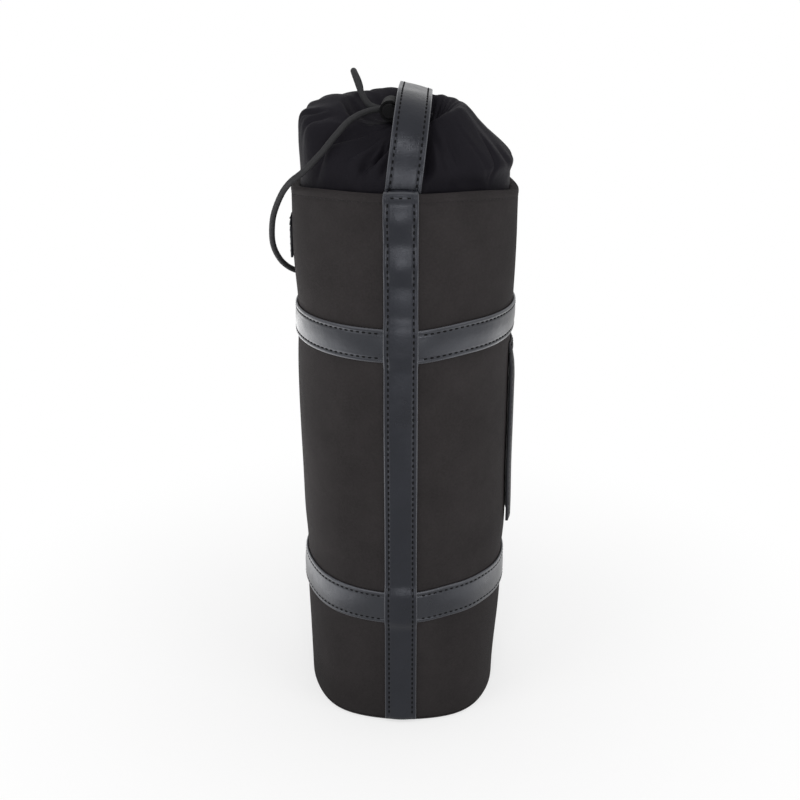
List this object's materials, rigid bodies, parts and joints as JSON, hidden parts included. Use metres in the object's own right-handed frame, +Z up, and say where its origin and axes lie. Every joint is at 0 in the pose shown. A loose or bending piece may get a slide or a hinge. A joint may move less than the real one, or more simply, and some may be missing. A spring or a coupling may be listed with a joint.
{
  "type": "drawstring bottle bag",
  "caption": "Tall round insulated bottle bag of black woven cloth with leather straps, bands and an arched carrying handle, closed by a gathered drawstring collar and a cord lock.",
  "frame": {"origin": "centre of the base on the surface that the bag stands on", "axes": "+Z up along the bag, -Y towards the front strap, +X towards the long leather flap"},
  "size_m": [0.1255, 0.1179, 0.3363],
  "materials": {
    "shell_cloth": "matte charcoal woven cloth",
    "leather": "satin blue-black leather with stitched edges",
    "collar_cloth": "thin black nylon, gathered",
    "lining_cloth": "thin smooth nylon",
    "foam": "closed-cell foam sheet",
    "board": "stiff plastic board",
    "cord": "round braided polyester cord",
    "lock_plastic": "moulded black plastic",
    "spring_steel": "bright spring wire"
  },
  "bodies": {
    "bag": {"outer_shell": "shell_cloth", "base_panel": "shell_cloth", "base_board": "board", "foam_sleeve": "foam", "foam_disc": "foam", "lining_tube": "lining_cloth", "lining_base": "lining_cloth", "front_strap": "leather", "back_strap": "leather", "upper_band_left": "leather", "upper_band_right": "leather", "lower_band_left": "leather", "lower_band_right": "leather", "handle_tab_front": "leather", "handle_tab_back": "leather", "collar": "collar_cloth", "cord_channel": "collar_cloth", "drawcord_run": "cord", "drawcord_loop": "cord", "flap_seam": "leather", "tab_seam": "leather"},
    "handle": {"handle_outer": "leather", "handle_inner": "leather"},
    "lock": {"lock_barrel": "lock_plastic", "lock_spring": "spring_steel"},
    "button": {"lock_button": "lock_plastic"},
    "flap": {"side_flap": "leather"},
    "tab": {"side_tab": "leather"}
  },
  "joints": [
    {"name": "handle_swing", "type": "hinge", "parent": "bag", "child": "handle", "pos_m": [0, 0, 0.2892], "axis": [0, 1, 0], "range_deg": [-20, 42], "stiffness_Nm_per_rad": 0.05, "deforming": ["collar"]},
    {"name": "lock_slide", "type": "slide", "parent": "bag", "child": "lock", "axis": [-1, 0, 0], "range_m": [0, 0.008], "deforming": ["drawcord_loop"]},
    {"name": "button_press", "type": "slide", "parent": "lock", "child": "button", "axis": [0, 1, 0], "range_m": [0, 0.0032], "stiffness_N_per_m": 400, "springref_m": -0.004, "deforming": ["lock_spring"]},
    {"name": "flap_lift", "type": "hinge", "parent": "bag", "child": "flap", "pos_m": [0.05627, 0, 0.197], "axis": [0, -1, 0], "range_deg": [0, 105]},
    {"name": "tab_lift", "type": "hinge", "parent": "bag", "child": "tab", "pos_m": [-0.05667, 0, 0.261], "axis": [0, 1, 0], "range_deg": [0, 30]}
  ]
}
